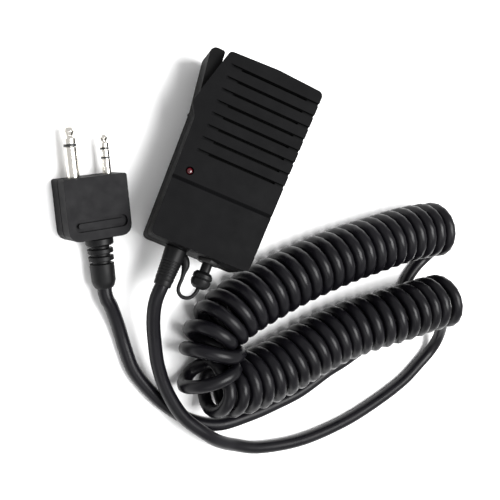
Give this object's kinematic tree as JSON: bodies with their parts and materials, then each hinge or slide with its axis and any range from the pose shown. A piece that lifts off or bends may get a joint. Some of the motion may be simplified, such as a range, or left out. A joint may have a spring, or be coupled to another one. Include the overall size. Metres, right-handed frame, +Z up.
{
  "type": "hand microphone",
  "caption": "Slotted speaker microphone with side talk lever and swivel clip, lying with its folded curly cord and two-pin jack plug.",
  "frame": {"origin": "middle of the handset's bounding box on the surface it lies on", "axes": "+Z up from the surface, +Y towards the top of the handset (its longest extent), +X to its right; the handset leans 21.5 degrees to its left on its belt clip"},
  "size_m": [0.1626, 0.1069, 0.0304],
  "materials": {
    "case_black": "fine-textured matt moulding",
    "button_rubber": "matt",
    "soft_pvc": "semi-gloss soft PVC",
    "plug_black": "satin moulding",
    "nickel": "bright nickel plating",
    "steel": "satin",
    "insulator": "moulded",
    "led_red": "clear red lens",
    "board_green": "solder-masked board",
    "magnet": "plain",
    "cone_paper": "pressed paper",
    "mesh_cloth": "woven cloth"
  },
  "bodies": {
    "handset": {"front_cover": "case_black", "rear_cover": "case_black", "case_screw_1": "steel", "case_screw_2": "steel", "case_screw_3": "steel", "case_screw_4": "steel", "dust_mesh": "mesh_cloth", "speaker_frame": "steel", "speaker_magnet": "magnet", "speaker_cone": "cone_paper", "mic_capsule": "nickel", "capsule_boot": "button_rubber", "circuit_board": "board_green", "led_lens": "led_red", "ptt_pivot_pin": "steel", "ptt_switch_body": "insulator", "earphone_jack": "insulator", "jack_nut": "steel", "cap_tether": "soft_pvc", "strain_relief": "soft_pvc", "clip_stud": "steel", "mic_lead": "soft_pvc", "curly_cord": "soft_pvc", "plug_lead": "soft_pvc", "plug_strain_relief": "soft_pvc", "plug_front_shell": "plug_black", "plug_rear_shell": "plug_black", "pin_35_sleeve": "nickel", "pin_35_insulator": "insulator", "pin_35_tip": "nickel", "pin_25_sleeve": "nickel", "pin_25_insulator_low": "insulator", "pin_25_ring": "nickel", "pin_25_insulator_high": "insulator", "pin_25_tip": "nickel"},
    "clip": {"clip_base": "case_black", "clip_pin": "steel", "clip_spring": "steel"},
    "clip_lever": {"clip_lever": "steel"},
    "talk_lever": {"ptt_lever": "button_rubber"},
    "talk_plunger": {"ptt_switch_plunger": "nickel"},
    "jack_cap": {"jack_cap": "soft_pvc"}
  },
  "joints": [
    {"name": "ptt_hinge", "type": "hinge", "parent": "handset", "child": "talk_lever", "pos_m": [-0.01291, 0.01681, 0.01088], "axis": [0.3665, 0, -0.9304], "range_deg": [0, 5], "stiffness_Nm_per_rad": 0.05, "springref_deg": -5.73},
    {"name": "ptt_plunger", "type": "slide", "parent": "handset", "child": "talk_plunger", "axis": [0.9304, 0, 0.3665], "range_m": [0, 0.00064]},
    {"name": "jack_cap_pull", "type": "slide", "parent": "handset", "child": "jack_cap", "axis": [0, -1, 0], "range_m": [0, 0.01], "deforming": ["cap_tether"]},
    {"name": "clip_swivel", "type": "hinge", "parent": "handset", "child": "clip", "pos_m": [0.0061, 0.00911, 0.00601], "axis": [-0.3665, 0, 0.9304], "continuous": true},
    {"name": "clip_open", "type": "hinge", "parent": "clip", "child": "clip_lever", "pos_m": [0.0088, 0.00911, 0.0033], "axis": [0, -1, 0], "range_deg": [0, 15], "stiffness_Nm_per_rad": 0.1, "springref_deg": -17.19}
  ],
  "couplings": [
    {"joint": "ptt_plunger", "follows": "ptt_hinge", "m_per_rad": 0.0073}
  ]
}
